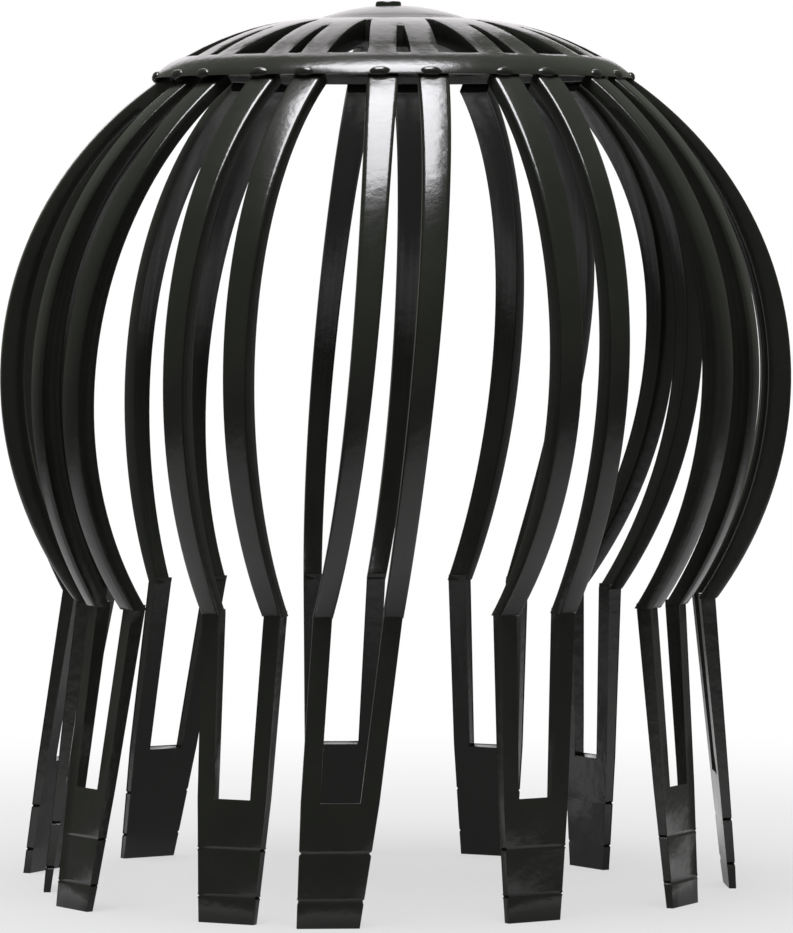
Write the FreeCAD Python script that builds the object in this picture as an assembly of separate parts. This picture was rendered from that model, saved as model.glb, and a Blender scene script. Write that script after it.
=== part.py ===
import FreeCAD, Part
import math
import os
from FreeCAD import Vector

# Balloon leaf guard for the outlet of a downpipe, injection moulded in one piece:
# a slotted crown, a ring, pairs of bowed ribs, and one springy leg under each pair.
# Lengths are in millimetres and angles in degrees. The feet stand on Z = 0,
# the guard's axis is Z, and the first leg faces -Y.

# Legs and ribs
leg_count = 12
rib_width = 3.3
rib_thickness = 3.2
rib_thickness_ring = 2.4
rib_thickness_neck = 2.2
pair_spacing_ring = 7.4
pair_spacing_neck = 10.3

# Bulge: half an ellipse above its widest circle and half an ellipse below it
bulge_radius = 60.7
bulge_rise = 57.0
bulge_drop = 59.3

# Neck and legs: the neck enters the pipe and the feet spring against its wall
neck_radius = 49.4
neck_shoulder = 0.4
leg_length = 44.9
leg_thickness_neck = 2.2
prong_width = 2.6
paddle_height = 18.1
paddle_width = 11.5
foot_radius = 54.2
foot_width = 9.2
foot_thickness = 1.1

# Score lines that let the foot be snapped off shorter
score_lines = 2
score_first = 3.9
score_pitch = 6.9
score_depth = 0.35
score_half_height = 0.4
notch_depth = 0.8

# Crown and ring
ring_radius = 37.4
ring_width = 4.6
rib_root_recess = 0.6
rib_root_depth = 1.4
rib_root_flare = 0.8
slot_outer_radius = 32.2
crown_eye_radius = 20.2
crown_eye_rise = 3.4
crown_flat_radius = 4.2
eye_steps = 2
crown_rise = 7.7
crown_wall = 2.0
nub_radius = 2.1
nub_height = 0.8
nub_offset = -1.2
wide_slot_inner_radius = 20.8
wide_slot_width = 6.2
narrow_slot_inner_radius = 24.7
narrow_slot_width = 2.1
slot_tip_width = 0.9

# Sideways set of each leg along X, at the neck and at the foot: storage has pushed
# most of the legs over, and they keep facing the way they were moulded. A rib takes
# less of the set near the ring than a straight line would
set_bow = 0.45
neck_set = [-7.8, -5.3, -2.2, 0.0, -10.0, -7.0, -4.8, -7.7, -5.7, 0.0, -1.8, -0.7]
foot_set = [-12.6, -9.4, -4.5, -1.5, -14.7, -9.7, -8.0, -10.2, -8.5, 0.0, -3.1, 0.1]

# The same set in the bowed ribs, above and below the widest place: how far along X each pair
# has been carried, and how much further apart than moulded its two ribs stand
shoulder_sway = [0.2, -1.6, 0.0, 0.0, 0.0, 3.5, -0.7, -5.6, 0.0, 0.0, 1.6, -0.4]
waist_sway = [0.9, -1.6, 0.0, 0.0, 0.0, -0.5, -0.7, 0.2, 0.0, 0.0, 0.0, -0.4]
shoulder_spread = [-0.4, -1.2, 0.0, 0.0, 0.0, 10.1, 4.1, 4.6, 0.0, 0.0, 0.0, 0.9]
waist_spread = [-1.7, -1.2, 0.0, 0.0, 0.0, 1.1, 4.1, 0.0, 0.0, 0.0, 0.0, 0.9]

# Heights and angles that follow from the sizes above
neck_z = leg_length
neck_angle = -math.degrees(math.acos(neck_radius / bulge_radius))
equator_z = neck_z - bulge_drop * math.sin(math.radians(neck_angle))
ring_angle = math.degrees(math.acos(ring_radius / bulge_radius))
ring_z = equator_z + bulge_rise * math.sin(math.radians(ring_angle))
slot_outer_z = equator_z + bulge_rise * math.sqrt(1 - (slot_outer_radius / bulge_radius) ** 2)
apex_z = slot_outer_z + crown_rise
leg_pitch = 360.0 / leg_count


def leg_axes(index):
    """Outward and sideways directions of one leg."""
    azimuth = math.radians(leg_pitch * index)
    outward = Vector(math.sin(azimuth), -math.cos(azimuth), 0)
    sideways = Vector(math.cos(azimuth), math.sin(azimuth), 0)
    return outward, sideways


def leg_shift(index, z):
    """How far a leg's set has carried it along X at this height."""
    at_neck = neck_set[index % len(neck_set)]
    at_foot = foot_set[index % len(foot_set)]
    if z < neck_z:
        return Vector(at_foot + (at_neck - at_foot) * z / neck_z, 0, 0)
    share = (ring_z - z) / (ring_z - neck_z)
    return Vector(at_neck * share * (1 - set_bow * (1 - share)), 0, 0)


def placed(index, radius, side, z):
    """A point given by its distance out from the axis, its distance sideways and its height."""
    outward, sideways = leg_axes(index)
    return outward * radius + sideways * side + Vector(0, 0, z) + leg_shift(index, z)


def section(index, outer, inner, side_a, side_b):
    """Corners of a section between two (radius, height) points and two sideways limits."""
    return [
        placed(index, outer[0], side_a, outer[1]),
        placed(index, outer[0], side_b, outer[1]),
        placed(index, inner[0], side_b, inner[1]),
        placed(index, inner[0], side_a, inner[1]),
    ]


def closed(corners):
    """Closed outline through these corners."""
    return Part.makePolygon(corners + corners[:1])


def straight_bar(sections):
    """Solid with flat faces through level sections of the same facing."""
    faces = [Part.Face(closed(sections[0])), Part.Face(closed(sections[-1]))]
    for upper, lower in zip(sections, sections[1:]):
        for a in range(4):
            b = (a + 1) % 4
            faces.append(Part.Face(closed([upper[a], upper[b], lower[b], lower[a]])))
    return Part.makeSolid(Part.makeShell(faces))


def eye_point(share):
    """Point of the domed eye of the crown, from its edge at 0 to its flat top at 1."""
    dome = (crown_eye_radius ** 2 + crown_eye_rise ** 2) / (2 * crown_eye_rise)
    radius = crown_eye_radius + (crown_flat_radius - crown_eye_radius) * share
    return Vector(radius, 0, apex_z - dome + math.sqrt(dome ** 2 - radius ** 2))


def make_crown():
    """Dome, ring band and gate nub, turned about the axis, with the slots cut through."""
    eye = [eye_point(step / eye_steps) for step in range(eye_steps + 1)]
    top = Vector(0, 0, eye[-1].z)
    inner = [point - Vector(0, 0, crown_wall) for point in (top, eye[-1], eye[0])]
    outline = [
        Vector(ring_radius - ring_width, 0, ring_z),
        Vector(ring_radius, 0, ring_z),
        Vector(slot_outer_radius, 0, slot_outer_z),
    ]
    face = Part.Face(closed(outline + eye + [top] + inner))
    crown = face.revolve(Vector(0, 0, 0), Vector(0, 0, 1), 360)
    nub_foot = Vector(nub_offset, 0, apex_z - crown_wall / 2)
    nub = Part.makeCylinder(nub_radius, nub_height + crown_wall / 2, nub_foot)
    cutters = []
    for index in range(leg_count):
        pair = leg_pitch * index
        gap = pair + leg_pitch / 2
        cutters.append(slot_cutter(narrow_slot_inner_radius, narrow_slot_width, pair))
        cutters.append(slot_cutter(wide_slot_inner_radius, wide_slot_width, gap))
    return crown.fuse(nub).cut(cutters)


def slot_cutter(inner_radius, outer_width, azimuth):
    """Tapering slot, seen in plan, that goes right through the crown."""
    tip = slot_tip_width / 2
    foot = outer_width / 2
    corners = [
        Vector(-foot, -slot_outer_radius, 0),
        Vector(foot, -slot_outer_radius, 0),
        Vector(tip, -inner_radius, 0),
        Vector(-tip, -inner_radius, 0),
    ]
    cutter = Part.Face(closed(corners)).extrude(Vector(0, 0, apex_z + crown_wall))
    cutter.rotate(Vector(0, 0, 0), Vector(0, 0, 1), azimuth)
    return cutter


def bow_point(angle):
    """Point of the bulge's profile at this angle up from its widest circle, and the slope there."""
    turn = math.radians(angle)
    height = bulge_rise if angle > 0 else bulge_drop
    point = Vector(bulge_radius * math.cos(turn), 0, equator_z + height * math.sin(turn))
    slope = Vector(bulge_radius * math.sin(turn), 0, -height * math.cos(turn))
    return point, slope


def bow_poles(depth_ring, depth_waist, depth_neck):
    """Poles of a bow sunk by these depths below the bulge's profile."""
    root_angle = ring_angle + math.degrees(rib_root_depth / bulge_rise)
    reach = 4 / 3 * math.tan(math.radians((root_angle - neck_angle) / 4))
    top, top_slope = bow_point(root_angle)
    low, low_slope = bow_point(neck_angle)
    inward = Vector(top_slope.z, 0, -top_slope.x).normalize()
    across = Vector(-low_slope.Length / abs(low_slope.z), 0, 0)
    top += inward * depth_ring
    return [
        top,
        top + top_slope * reach * (1 - depth_ring / bulge_rise),
        low + across * depth_waist - low_slope * reach * (1 - depth_waist / bulge_drop),
        low + across * depth_neck,
    ]


def make_rib(index, hand):
    """One bowed rib of a pair, from inside the ring down to the neck; the pair spreads on its way down."""
    own = index % len(shoulder_sway)
    flares = (rib_root_flare, 0.0, 0.0, 0.0)
    sways = (0.0, shoulder_sway[own], waist_sway[own], 0.0)
    spreads = (0.0, shoulder_spread[own], waist_spread[own], 0.0)
    edges = []
    corners = []
    for depths, side in (
        ((rib_root_recess, 0.0, 0.0), -1),
        ((rib_root_recess, 0.0, 0.0), 1),
        ((rib_thickness_ring, rib_thickness, rib_thickness_neck), 1),
        ((rib_thickness_ring, rib_thickness, rib_thickness_neck), -1),
    ):
        poles = []
        for pole, flare, sway, spread in zip(bow_poles(*depths), flares, sways, spreads):
            share = (ring_z - pole.z) / (ring_z - neck_z)
            spacing = pair_spacing_ring + (pair_spacing_neck - pair_spacing_ring) * share + spread
            across = (hand * spacing + side * (rib_width + flare)) / 2
            poles.append(placed(index, pole.x, across, pole.z) + Vector(sway, 0, 0))
        curve = Part.BezierCurve()
        curve.setPoles(poles)
        edges.append(curve.toShape())
        corners.append((poles[0], poles[-1]))
    faces = [Part.makeRuledSurface(edges[k], edges[(k + 1) % 4]) for k in range(4)]
    faces += [Part.Face(closed([ends[k] for ends in corners])) for k in (0, 1)]
    return Part.makeSolid(Part.makeShell(faces))


def leg_surface(z):
    """Radius of a leg's outer face at this height."""
    top = neck_radius - neck_shoulder
    return foot_radius + (top - foot_radius) * z / neck_z


def leg_half_width(z):
    """Half of a leg's width at this height: its foot tapers more than its prongs do."""
    if z < paddle_height:
        return (foot_width + (paddle_width - foot_width) * z / paddle_height) / 2
    top = pair_spacing_neck + prong_width
    share = (z - paddle_height) / (neck_z - paddle_height)
    return (paddle_width + (top - paddle_width) * share) / 2


def leg_section(index, z):
    """Full section of a leg at this height."""
    outer = leg_surface(z)
    inner = outer - foot_thickness - (leg_thickness_neck - foot_thickness) * z / neck_z
    half = leg_half_width(z)
    return section(index, (outer, z), (inner, z), -half, half)


def leg_slot(index):
    """The long slot that parts a leg's two prongs, open at the neck."""
    sections = []
    for z in (paddle_height, neck_z):
        half = leg_half_width(z) - prong_width
        outer = leg_surface(z) + leg_thickness_neck
        inner = leg_surface(z) - 2 * leg_thickness_neck
        sections.append(section(index, (outer, z), (inner, z), -half, half))
    return straight_bar(sections)


def score_cuts(index, z):
    """A shallow V across the outer face of a foot, and a notch in each of its edges."""
    outward, sideways = leg_axes(index)
    up = Vector(0, 0, score_half_height)
    half = leg_half_width(z)
    face = placed(index, leg_surface(z), 0, z)
    groove = closed([
        face - outward * score_depth - sideways * foot_width,
        face + outward * score_depth + up * 2 - sideways * foot_width,
        face + outward * score_depth - up * 2 - sideways * foot_width,
    ])
    cuts = [Part.Face(groove).extrude(sideways * 2 * foot_width)]
    for hand in (-1, 1):
        edge = face + sideways * hand * half - outward * 2 * leg_thickness_neck
        notch = closed([
            edge - sideways * hand * notch_depth,
            edge + sideways * hand * notch_depth + up * 2,
            edge + sideways * hand * notch_depth - up * 2,
        ])
        cuts.append(Part.Face(notch).extrude(outward * 4 * leg_thickness_neck))
    return cuts


def make_leg(index):
    """A pair of ribs with the tapering leg that they run into."""
    leg = straight_bar([leg_section(index, z) for z in (neck_z, paddle_height, 0)])
    cuts = [leg_slot(index)]
    for line in range(score_lines):
        cuts += score_cuts(index, score_first + score_pitch * line)
    return leg.cut(cuts).fuse([make_rib(index, -1), make_rib(index, 1)])


guard = make_crown().fuse([make_leg(index) for index in range(leg_count)]).removeSplitter()
leaf_guard = guard.Solids[0]

os.makedirs("parts", exist_ok=True)
leaf_guard.exportStep("parts/leaf_guard.step")

box = leaf_guard.BoundBox
print("solids", len(guard.Solids), "valid", leaf_guard.isValid())
print("size", round(box.XLength, 2), round(box.YLength, 2), round(box.ZLength, 2))
print("volume", round(leaf_guard.Volume, 1))
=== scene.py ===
import math

import bmesh
import bpy
from mathutils import Matrix, Vector


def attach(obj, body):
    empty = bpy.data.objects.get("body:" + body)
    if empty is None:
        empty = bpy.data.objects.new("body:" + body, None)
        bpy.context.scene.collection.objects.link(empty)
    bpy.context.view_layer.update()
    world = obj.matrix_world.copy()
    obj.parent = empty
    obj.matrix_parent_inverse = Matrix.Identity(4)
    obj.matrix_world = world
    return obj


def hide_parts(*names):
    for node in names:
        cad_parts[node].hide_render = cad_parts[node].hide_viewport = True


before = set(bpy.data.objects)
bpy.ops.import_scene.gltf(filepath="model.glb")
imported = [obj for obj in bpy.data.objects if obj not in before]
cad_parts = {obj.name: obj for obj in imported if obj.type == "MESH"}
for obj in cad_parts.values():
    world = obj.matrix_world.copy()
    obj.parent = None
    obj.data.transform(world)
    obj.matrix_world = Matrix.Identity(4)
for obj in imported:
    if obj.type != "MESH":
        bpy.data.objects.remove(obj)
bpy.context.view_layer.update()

# Crown: the closed top of the guard, a shallow round eye over a slotted cone that ends in the ring.
# Black plastic, moulded in one with the ribs and legs. Spun from its profile, then slotted; sizes in mm.
ring_inner_radius = 32.8
band_radius = 36.25
band_z = 125.6
band_bow = 0.3
rim_radius = 37.05
rim_z = 124.65
slot_outer_radius = 32.2
slot_outer_z = 128.0
eye_radius = 10.6
eye_dome = 32.0
apex_z = 136.0
shoulder_radius = 11.4
shoulder_z = 133.85
ring_wall_height = 1.1
wall_lean = 0.2
crown_wall = 2.4
wide_slot_inner_radius = 17.5
wide_slot_width = 6.2
narrow_slot_inner_radius = 22.0
narrow_slot_width = 2.1
slot_tip_width = 0.9
crown_bevel = 0.3
crease_angle = 0.6
merge_distance = 0.001
plain_radius = 12
nub_radius = 2.1
nub_top_radius = 1.9
nub_depth = 1.2
nub_offset = -0.7
nub_bevel = 0.2
leg_count = 12
sector = 360 / leg_count
columns = 16
column_angle = sector / columns
narrow_column = 2
wide_column = 5


def crown_top(radius):
    if radius <= eye_radius:
        return apex_z - radius ** 2 / (2 * eye_dome)
    if radius < slot_outer_radius:
        share = (radius - shoulder_radius) / (slot_outer_radius - shoulder_radius)
        return shoulder_z + (slot_outer_z - shoulder_z) * share ** 2
    share = (radius - slot_outer_radius) / (band_radius - slot_outer_radius)
    return slot_outer_z + (band_z - slot_outer_z) * share + band_bow * math.sin(math.pi * share)


def crown_under(radius):
    share = min(radius / ring_inner_radius, 1)
    return shoulder_z - crown_wall + (rim_z + ring_wall_height - shoulder_z + crown_wall) * share ** 2


def azimuth(point):
    return math.degrees(math.atan2(point.x, -point.y))


def slot_half_angle(inner_radius, outer_width, radius):
    share = min(max((radius - inner_radius) / (slot_outer_radius - inner_radius), 0), 1)
    return math.degrees(math.asin((slot_tip_width + (outer_width - slot_tip_width) * share) / 2 / radius))


def sharp_edges(mesh, angle):
    return [edge for edge in mesh.edges if edge.is_manifold and edge.calc_face_angle() > angle]


guard = bmesh.new()
eye_rows = [0, 2, 4.5, 7, 9, eye_radius, shoulder_radius, 13.5, 15.5]
slot_rows = [wide_slot_inner_radius, 19.7, narrow_slot_inner_radius, 24.5, 27, 29.6, slot_outer_radius]
band_rows = [33.2, 34.2, 35.2, 35.8, band_radius]
rows = eye_rows + slot_rows
profile = [(radius, crown_top(radius)) for radius in rows + band_rows]
profile += [(rim_radius, rim_z), (ring_inner_radius, rim_z)]
profile += [(ring_inner_radius - wall_lean, rim_z + ring_wall_height)]
profile += [(radius, crown_under(radius)) for radius in reversed(rows)]
chain = [guard.verts.new((0, -radius, z)) for radius, z in profile]
chain += [guard.edges.new(pair) for pair in zip(chain, chain[1:])]
bmesh.ops.spin(guard, geom=chain, cent=(0, 0, 0), axis=(0, 0, 1), angle=2 * math.pi,
               steps=leg_count * columns, use_merge=True)
bmesh.ops.remove_doubles(guard, verts=guard.verts[:], dist=merge_distance)

slot_faces = []
for face in guard.faces:
    middle = face.calc_center_median()
    radius = math.hypot(middle.x, middle.y)
    column = abs(azimuth(middle) - sector * round(azimuth(middle) / sector)) / column_angle
    narrow = column < narrow_column and narrow_slot_inner_radius < radius < slot_outer_radius
    wide = column > wide_column and wide_slot_inner_radius < radius < slot_outer_radius
    if narrow or wide:
        slot_faces.append(face)
bmesh.ops.delete(guard, geom=slot_faces, context="FACES")
rims = {}
for edge in guard.edges:
    if edge.is_boundary:
        middle = (edge.verts[0].co + edge.verts[1].co) / 2
        rims.setdefault(round(azimuth(middle) / sector * 2) % (2 * leg_count), []).append(edge)
for rim in rims.values():
    bmesh.ops.bridge_loops(guard, edges=rim)

# The columns are drawn together or apart so that each slot narrows to its tip.
for vert in guard.verts:
    radius = math.hypot(vert.co.x, vert.co.y)
    if radius > plain_radius:
        home = sector * round(azimuth(vert.co) / sector)
        offset = azimuth(vert.co) - home
        column = abs(offset) / column_angle
        reach = min(max(radius, wide_slot_inner_radius), slot_outer_radius)
        narrow = slot_half_angle(narrow_slot_inner_radius, narrow_slot_width, reach)
        wide = sector / 2 - slot_half_angle(wide_slot_inner_radius, wide_slot_width, reach)
        if column < narrow_column:
            turned = narrow * column / narrow_column
        elif column < wide_column:
            turned = narrow + (wide - narrow) * (column - narrow_column) / (wide_column - narrow_column)
        else:
            turned = wide + (sector / 2 - wide) * (column - wide_column) / (columns / 2 - wide_column)
        angle = math.radians(home + math.copysign(turned, offset))
        vert.co.x = radius * math.sin(angle)
        vert.co.y = -radius * math.cos(angle)
bmesh.ops.recalc_face_normals(guard, faces=guard.faces[:])
bmesh.ops.bevel(guard, geom=sharp_edges(guard, crease_angle), offset=crown_bevel, offset_type="OFFSET",
                segments=2, profile=0.5, affect="EDGES", material=-1, clamp_overlap=True)

# A flat gate nub stands a little left of the middle of the eye.
nub = bmesh.ops.create_cone(guard, cap_ends=True, segments=32, radius1=nub_radius, radius2=nub_top_radius,
                            depth=nub_depth, matrix=Matrix.Translation((nub_offset, 0, apex_z)))
nub_rim = {edge for vert in nub["verts"] for edge in vert.link_edges
           if edge.calc_face_angle() > crease_angle}
bmesh.ops.bevel(guard, geom=list(nub_rim), offset=nub_bevel, offset_type="OFFSET", segments=2,
                profile=0.5, affect="EDGES", material=-1)

# The legs' set has carried the crown a little to the left.
crown_shift = Vector((-0.5, 0, 0))
bmesh.ops.translate(guard, verts=guard.verts[:], vec=crown_shift)

# Ribs: twelve pairs of bowed bars, each from a bead on the ring out round the bulge and in to the neck.
# Black plastic with a rounded outer face. One bevelled bar is bent along the four corner lines of each rib.
ring_radius = 37.4
ring_z = 124.26
bulge_radius = 60.7
bulge_rise = 57.0
bulge_drop = 59.3
neck_radius = 49.4
neck_z = 44.9
rib_width = 3.5
rib_thickness = 3.2
rib_thickness_ring = 2.6
rib_thickness_neck = 2.3
rib_root_recess = 0.5
rib_root_depth = 2.0
rib_root_flare = 1.2
rib_shoulder_flare = 0.2
rib_neck_taper = 0.5
rib_outer_bevel = 0.5
rib_inner_bevel = 0.3
rib_length = 98.0
rib_cuts = 48
corner_angle = 1
bead_radius = 36.2
bead_lift = 0.25
bead_size = (1.7, 0.8, 0.85)
pair_spacing_ring = 7.4
pair_spacing_neck = 10.3
set_bow = 0.45
neck_set = [-8.05, -5.7, -2.7, -0.3, -9.3, -7.0, -6.0, -7.6, -5.7, -0.1, -1.7, -0.5]
foot_set = [-12.65, -9.1, -4.7, -1.9, -14.3, -9.5, -6.8, -11.2, -8.5, -0.2, -3.15, -0.3]
root_sway = [0.0, 0.0, 0.0, 0.0, 0.0, 0.0, 0.0, -2.4, 0.0, 0.0, 0.8, 0.0]
shoulder_sway = [0.0, -1.7, -1.0, 0.6, -0.8, 3.2, 0.6, -2.7, -2.0, -0.6, 1.1, -0.6]
waist_sway = [1.1, -0.8, -1.1, 0.0, -0.9, -2.2, 0.8, -1.5, 0.0, 0.0, 0.3, -0.4]
shoulder_spread = [2.4, 2.8, 2.0, 0.0, -1.6, 10.7, 4.7, 5.2, 0.0, 0.0, 7.0, 2.4]
waist_spread = [-1.7, -3.2, 1.6, 0.0, -1.6, -0.5, 6.2, 0.0, 0.0, 0.0, -2.6, 0.9]
neck_angle = -math.degrees(math.acos(neck_radius / bulge_radius))
equator_z = neck_z - bulge_drop * math.sin(math.radians(neck_angle))
ring_angle = math.degrees(math.acos(ring_radius / bulge_radius))


def placed(leg, radius, side, z):
    angle = math.radians(sector * leg)
    point = Vector((radius * math.sin(angle) + side * math.cos(angle),
                    side * math.sin(angle) - radius * math.cos(angle), z))
    if z < neck_z:
        point.x += foot_set[leg] + (neck_set[leg] - foot_set[leg]) * z / neck_z
    else:
        share = (ring_z - z) / (ring_z - neck_z)
        point.x += neck_set[leg] * share * (1 - set_bow * (1 - share))
    return point


def bow_point(angle):
    turn = math.radians(angle)
    height = bulge_rise if angle > 0 else bulge_drop
    point = Vector((bulge_radius * math.cos(turn), 0, equator_z + height * math.sin(turn)))
    slope = Vector((bulge_radius * math.sin(turn), 0, -height * math.cos(turn)))
    return point, slope


def bow_poles(depth_ring, depth_waist, depth_neck):
    root_angle = ring_angle + math.degrees(rib_root_depth / bulge_rise)
    reach = 4 / 3 * math.tan(math.radians((root_angle - neck_angle) / 4))
    top, top_slope = bow_point(root_angle)
    low, low_slope = bow_point(neck_angle)
    across = Vector((-low_slope.length / abs(low_slope.z), 0, 0))
    top += Vector((top_slope.z, 0, -top_slope.x)).normalized() * depth_ring
    return [top, top + top_slope * reach * (1 - depth_ring / bulge_rise),
            low + across * depth_waist - low_slope * reach * (1 - depth_waist / bulge_drop),
            low + across * depth_neck]


def corner_line(leg, hand, side, depths):
    flares = (rib_root_flare, rib_shoulder_flare, 0, -rib_neck_taper)
    sways = (root_sway[leg], shoulder_sway[leg], waist_sway[leg], 0)
    spreads = (0, shoulder_spread[leg], waist_spread[leg], 0)
    poles = []
    for pole, flare, sway, spread in zip(bow_poles(*depths), flares, sways, spreads):
        share = (ring_z - pole.z) / (ring_z - neck_z)
        spacing = pair_spacing_ring + (pair_spacing_neck - pair_spacing_ring) * share + spread
        # Each rib faces out along its own direction from the axis.
        middle = placed(leg, pole.x, hand * spacing / 2, pole.z) + Vector((sway, 0, 0))
        facing = math.radians(azimuth(middle))
        across = Vector((math.cos(facing), math.sin(facing), 0))
        poles.append(middle + across * side * (rib_width + flare) / 2)
    return poles


def along(poles, share):
    rest = 1 - share
    return (poles[0] * rest ** 3 + poles[1] * 3 * rest ** 2 * share
            + poles[2] * 3 * rest * share ** 2 + poles[3] * share ** 3)


bar = bmesh.new()
bmesh.ops.create_cube(bar, size=1, matrix=Matrix.Diagonal((rib_width, rib_thickness, rib_length, 1)))
lengthwise = [edge for edge in bar.edges if abs(edge.verts[0].co.z - edge.verts[1].co.z) > 1]
bmesh.ops.subdivide_edges(bar, edges=lengthwise, cuts=rib_cuts, use_grid_fill=True)
outer_edges = [edge for edge in sharp_edges(bar, corner_angle) if all(v.co.y < 0 for v in edge.verts)]
bmesh.ops.bevel(bar, geom=outer_edges, offset=rib_outer_bevel, offset_type="OFFSET", segments=3,
                profile=0.5, affect="EDGES", material=-1)
inner_edges = [edge for edge in sharp_edges(bar, corner_angle) if all(v.co.y > 1 for v in edge.verts)]
bmesh.ops.bevel(bar, geom=inner_edges, offset=rib_inner_bevel, offset_type="OFFSET", segments=2,
                profile=0.5, affect="EDGES", material=-1)
bar_mesh = bpy.data.meshes.new("rib_bar")
bar.to_mesh(bar_mesh)
bar.free()

outer_depths = (rib_root_recess, 0, 0)
inner_depths = (rib_thickness_ring, rib_thickness, rib_thickness_neck)
ribs = bmesh.new()
for leg in range(leg_count):
    for hand in (-1, 1):
        lines = [corner_line(leg, hand, side, depths)
                 for depths in (outer_depths, inner_depths)
                 for side in (-1, 1)]
        first = len(ribs.verts)
        ribs.from_mesh(bar_mesh)
        ribs.verts.ensure_lookup_table()
        for vert in ribs.verts[first:]:
            share = 0.5 - vert.co.z / rib_length
            side = 0.5 + vert.co.x / rib_width
            depth = 0.5 + vert.co.y / rib_thickness
            outside = along(lines[0], share).lerp(along(lines[1], share), side)
            inside = along(lines[2], share).lerp(along(lines[3], share), side)
            vert.co = outside.lerp(inside, depth)
        bead = placed(leg, bead_radius, hand * pair_spacing_ring / 2, rim_z + bead_lift) + crown_shift
        turn = Matrix.Rotation(math.radians(sector * leg), 4, "Z")
        shape = Matrix.Diagonal((*bead_size, 1))
        bmesh.ops.create_uvsphere(guard, u_segments=20, v_segments=12, radius=1,
                                  matrix=Matrix.Translation(bead) @ turn @ shape)
ribs_mesh = bpy.data.meshes.new("ribs")
ribs.to_mesh(ribs_mesh)
ribs.free()
guard.from_mesh(ribs_mesh)

# Legs: a forked strap below each pair of ribs, two prongs that meet in a paddle with two score lines.
# Black plastic, thin at the foot. A grid with its fork cut out is given depth and laid on each leg.
neck_shoulder = 0.4
leg_thickness_neck = 2.2
prong_width = 2.75
paddle_height = 18.1
paddle_width = 11.5
foot_radius = 54.2
foot_width = 9.2
foot_thickness = 1.1
score_heights = [3.9, 10.8]
score_depth = 0.1
notch_depth = 0.25
ledge_fall = 0.4
leg_root = 0.8
leg_bevel = 0.08
leg_crease_angle = 0.9
fork_columns = 3
score_rows = [height + step for height in score_heights for step in (-0.45, -0.25, 0, 0.25, 0.45)]
prong_rows = [23, 28, 33, 38, 42, neck_z, neck_z + leg_root]
levels = sorted([0, 7.4, 14.6, paddle_height] + score_rows + prong_rows)


def leg_half_width(z):
    if z < paddle_height:
        return (foot_width + (paddle_width - foot_width) * z / paddle_height) / 2
    neck_width = pair_spacing_neck + prong_width
    share = (z - paddle_height) / (neck_z - paddle_height)
    return (paddle_width + (neck_width - paddle_width) * share) / 2


fork = bmesh.new()
bmesh.ops.create_grid(fork, x_segments=fork_columns, y_segments=len(levels) - 1, size=1)
paddle_level = levels.index(paddle_height)
for vert in fork.verts:
    vert.co.x = round((vert.co.x + 1) / 2 * fork_columns)
    vert.co.z = round((vert.co.y + 1) / 2 * (len(levels) - 1))
    vert.co.y = 0
slot_faces = []
for face in fork.faces:
    middle = face.calc_center_median()
    if abs(middle.x - fork_columns / 2) < 0.1 and middle.z > paddle_level:
        slot_faces.append(face)
bmesh.ops.delete(fork, geom=slot_faces, context="FACES")
deep = bmesh.ops.extrude_face_region(fork, geom=fork.faces[:])
bmesh.ops.translate(fork, verts=[part for part in deep["geom"] if isinstance(part, bmesh.types.BMVert)],
                    vec=(0, 1, 0))
bmesh.ops.recalc_face_normals(fork, faces=fork.faces[:])
fork_mesh = bpy.data.meshes.new("leg_fork")
fork.to_mesh(fork_mesh)
fork.free()

legs = bmesh.new()
for leg in range(leg_count):
    first = len(legs.verts)
    legs.from_mesh(fork_mesh)
    legs.verts.ensure_lookup_table()
    for vert in legs.verts[first:]:
        z = levels[round(vert.co.z)]
        half = leg_half_width(z)
        side = [-half, prong_width - half, half - prong_width, half][round(vert.co.x)]
        radius = foot_radius + (neck_radius - neck_shoulder - foot_radius) * z / neck_z
        if vert.co.y > 0.5:
            radius -= foot_thickness + (leg_thickness_neck - foot_thickness) * z / neck_z
            # The ledge under the fork falls away inwards.
            if z == paddle_height and abs(side) < half:
                z -= ledge_fall
        if z in score_heights:
            side -= math.copysign(notch_depth, side) * (abs(side) > half - 0.1)
            radius -= score_depth * (vert.co.y < 0.5)
        vert.co = placed(leg, radius, side, z)
bmesh.ops.bevel(legs, geom=sharp_edges(legs, leg_crease_angle), offset=leg_bevel, offset_type="OFFSET",
                segments=2, profile=0.5, affect="EDGES", material=-1, clamp_overlap=True)
for vert in legs.verts:
    vert.co.z = max(vert.co.z, 0)
legs_mesh = bpy.data.meshes.new("legs")
legs.to_mesh(legs_mesh)
legs.free()
guard.from_mesh(legs_mesh)

# The whole moulding: crown, ribs and legs as one piece, brought from millimetres to metres.
# Semi-gloss black plastic with a faint green-grey cast, uneven gloss and a finely grained skin.
millimetre = 0.001
smooth_angle = 40
bmesh.ops.scale(guard, vec=(millimetre, millimetre, millimetre), verts=guard.verts[:])
for face in guard.faces:
    face.smooth = True
guard_mesh = bpy.data.meshes.new("leaf_guard_moulding")
guard.to_mesh(guard_mesh)
guard.free()
guard_mesh.set_sharp_from_angle(angle=math.radians(smooth_angle))
moulding = bpy.data.objects.new("leaf_guard_moulding", guard_mesh)
bpy.context.scene.collection.objects.link(moulding)

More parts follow.
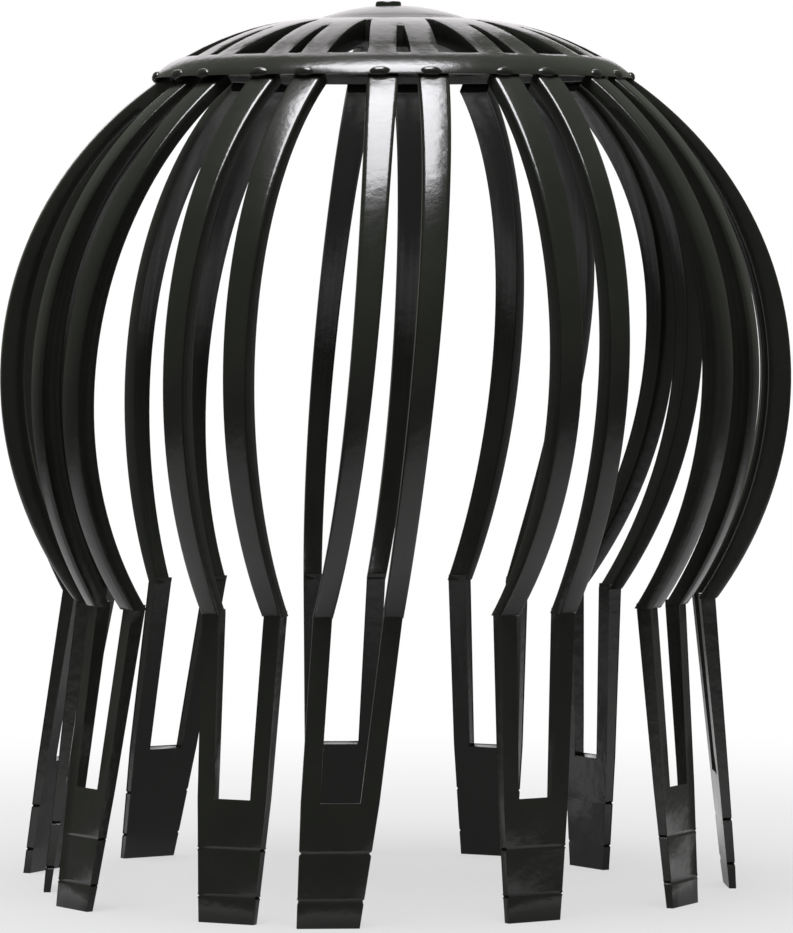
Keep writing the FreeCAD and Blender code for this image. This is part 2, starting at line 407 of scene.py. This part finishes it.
plastic = bpy.data.materials.new("black_plastic")
plastic.use_nodes = True
nodes = plastic.node_tree.nodes
links = plastic.node_tree.links
shader = nodes["Principled BSDF"]
where = nodes.new("ShaderNodeTexCoord")
cast = nodes.new("ShaderNodeTexNoise")
cast.inputs["Scale"].default_value = 45
cast.inputs["Detail"].default_value = 3
cast_colours = nodes.new("ShaderNodeValToRGB")
cast_colours.color_ramp.elements[0].position = 0.35
cast_colours.color_ramp.elements[0].color = (0.009, 0.0102, 0.0078, 1)
cast_colours.color_ramp.elements[1].position = 0.7
cast_colours.color_ramp.elements[1].color = (0.015, 0.0165, 0.013, 1)
links.new(where.outputs["Object"], cast.inputs["Vector"])
links.new(cast.outputs["Fac"], cast_colours.inputs["Fac"])
links.new(cast_colours.outputs["Color"], shader.inputs["Base Color"])
gloss = nodes.new("ShaderNodeTexNoise")
gloss.inputs["Scale"].default_value = 180
gloss.inputs["Detail"].default_value = 4
gloss_range = nodes.new("ShaderNodeMapRange")
gloss_range.inputs["To Min"].default_value = 0.15
gloss_range.inputs["To Max"].default_value = 0.26
links.new(where.outputs["Object"], gloss.inputs["Vector"])
links.new(gloss.outputs["Fac"], gloss_range.inputs["Value"])
links.new(gloss_range.outputs["Result"], shader.inputs["Roughness"])
skin = nodes.new("ShaderNodeTexNoise")
skin.inputs["Scale"].default_value = 600
skin.inputs["Detail"].default_value = 3
skin_bump = nodes.new("ShaderNodeBump")
skin_bump.inputs["Strength"].default_value = 0.25
skin_bump.inputs["Distance"].default_value = 0.0002
links.new(where.outputs["Object"], skin.inputs["Vector"])
links.new(skin.outputs["Fac"], skin_bump.inputs["Height"])
links.new(skin_bump.outputs["Normal"], shader.inputs["Normal"])
guard_mesh.materials.append(plastic)
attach(moulding, "root")
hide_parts("leaf_guard")

# Studio: a pale floor in white surroundings, a soft lamp overhead, an upright panel behind, and the camera.
# The floor is white paper to the eye; to the plastic it glows as a painted pool of light that fades with
# distance, with painted shadow at its middle under the guard.
floor_mesh = bpy.data.meshes.new("floor")
floor_shape = bmesh.new()
bmesh.ops.create_grid(floor_shape, x_segments=1, y_segments=1, size=6)
floor_shape.to_mesh(floor_mesh)
floor_shape.free()
floor = bpy.data.objects.new("floor", floor_mesh)
bpy.context.scene.collection.objects.link(floor)
paper_and_painted_pool = bpy.data.materials.new("white_paper_and_painted_pool")
paper_and_painted_pool.use_nodes = True
nodes = paper_and_painted_pool.node_tree.nodes
links = paper_and_painted_pool.node_tree.links
nodes.remove(nodes["Principled BSDF"])
matt = nodes.new("ShaderNodeBsdfDiffuse")
matt.inputs["Color"].default_value = (0.3, 0.3, 0.3, 1)
glow = nodes.new("ShaderNodeEmission")
ray = nodes.new("ShaderNodeLightPath")
where = nodes.new("ShaderNodeTexCoord")
distance = nodes.new("ShaderNodeVectorMath")
distance.operation = "LENGTH"
fade = nodes.new("ShaderNodeMapRange")
fade.interpolation_type = "SMOOTHSTEP"
fade.inputs["From Min"].default_value = 0.05
fade.inputs["From Max"].default_value = 0.3
fade.inputs["To Min"].default_value = 0.6
fade.inputs["To Max"].default_value = 1
share = nodes.new("ShaderNodeMath")
share.operation = "MULTIPLY_ADD"
reach = nodes.new("ShaderNodeMath")
reach.operation = "MULTIPLY"
reach.inputs[1].default_value = 2.5
# Painted light in the floor's reflection: painted shadow at the middle under the guard, a bright painted
# ring of light round it, fading outwards.
pool = nodes.new("ShaderNodeValToRGB")
pool.color_ramp.elements[0].position = 0.12
pool.color_ramp.elements[0].color = (0.3, 0.3, 0.3, 1)
pool.color_ramp.elements[1].position = 0.9
pool.color_ramp.elements[1].color = (0.15, 0.15, 0.15, 1)
pool_edge = pool.color_ramp.elements.new(0.22)
pool_edge.color = (1, 1, 1, 1)
pool_fall = pool.color_ramp.elements.new(0.55)
pool_fall.color = (0.68, 0.68, 0.68, 1)
strength = nodes.new("ShaderNodeMath")
strength.operation = "MULTIPLY_ADD"
blend = nodes.new("ShaderNodeMixShader")
links.new(where.outputs["Object"], distance.inputs[0])
links.new(distance.outputs["Value"], fade.inputs["Value"])
links.new(distance.outputs["Value"], reach.inputs[0])
links.new(reach.outputs[0], pool.inputs["Fac"])
links.new(ray.outputs["Is Glossy Ray"], strength.inputs[0])
links.new(pool.outputs["Color"], strength.inputs[1])
links.new(ray.outputs["Is Camera Ray"], strength.inputs[2])
links.new(strength.outputs[0], glow.inputs["Strength"])
links.new(ray.outputs["Is Camera Ray"], share.inputs[0])
links.new(fade.outputs["Result"], share.inputs[1])
links.new(ray.outputs["Is Glossy Ray"], share.inputs[2])
links.new(share.outputs[0], blend.inputs[0])
links.new(matt.outputs["BSDF"], blend.inputs[1])
links.new(glow.outputs["Emission"], blend.inputs[2])
links.new(blend.outputs["Shader"], nodes["Material Output"].inputs["Surface"])
floor_mesh.materials.append(paper_and_painted_pool)

world = bpy.data.worlds.new("surroundings")
bpy.context.scene.world = world
world.use_nodes = True
nodes = world.node_tree.nodes
links = world.node_tree.links
backdrop = nodes["Background"]
backdrop.inputs["Color"].default_value = (1, 1, 1, 1)
backdrop.inputs["Strength"].default_value = 1
room = nodes.new("ShaderNodeBackground")
room.inputs["Color"].default_value = (0.96, 1, 0.87, 1)
room.inputs["Strength"].default_value = 0.19
ray = nodes.new("ShaderNodeLightPath")
blend = nodes.new("ShaderNodeMixShader")
links.new(ray.outputs["Is Camera Ray"], blend.inputs[0])
links.new(room.outputs["Background"], blend.inputs[1])
links.new(backdrop.outputs["Background"], blend.inputs[2])
links.new(blend.outputs["Shader"], nodes["World Output"].inputs["Surface"])

softbox_light = bpy.data.lights.new("softbox", "AREA")
softbox_light.shape = "RECTANGLE"
softbox_light.size = 0.43
softbox_light.size_y = 0.64
softbox_light.energy = 15
softbox_light.color = (0.97, 0.96, 1)
softbox = bpy.data.objects.new("softbox", softbox_light)
softbox.location = (-0.045, -0.105, 0.92)
bpy.context.scene.collection.objects.link(softbox)

panel_light = bpy.data.lights.new("back_panel", "AREA")
panel_light.shape = "RECTANGLE"
panel_light.size = 0.42
panel_light.size_y = 1.12
panel_light.energy = 2.1
panel_light.color = (1, 0.95, 1)
panel = bpy.data.objects.new("back_panel", panel_light)
panel.location = (0, 1.0, 0.74)
panel.rotation_euler = (math.radians(-90), 0, 0)
bpy.context.scene.collection.objects.link(panel)

camera_data = bpy.data.cameras.new("camera")
camera_data.lens = 231.5
camera_data.clip_end = 20
camera = bpy.data.objects.new("camera", camera_data)
camera.location = (-0.0467, -0.9228, 0.1030)
camera.rotation_euler = (math.radians(87.65), 0, math.radians(-2.9))
bpy.context.scene.collection.objects.link(camera)
bpy.context.scene.camera = camera
bpy.context.scene.view_settings.view_transform = "Standard"
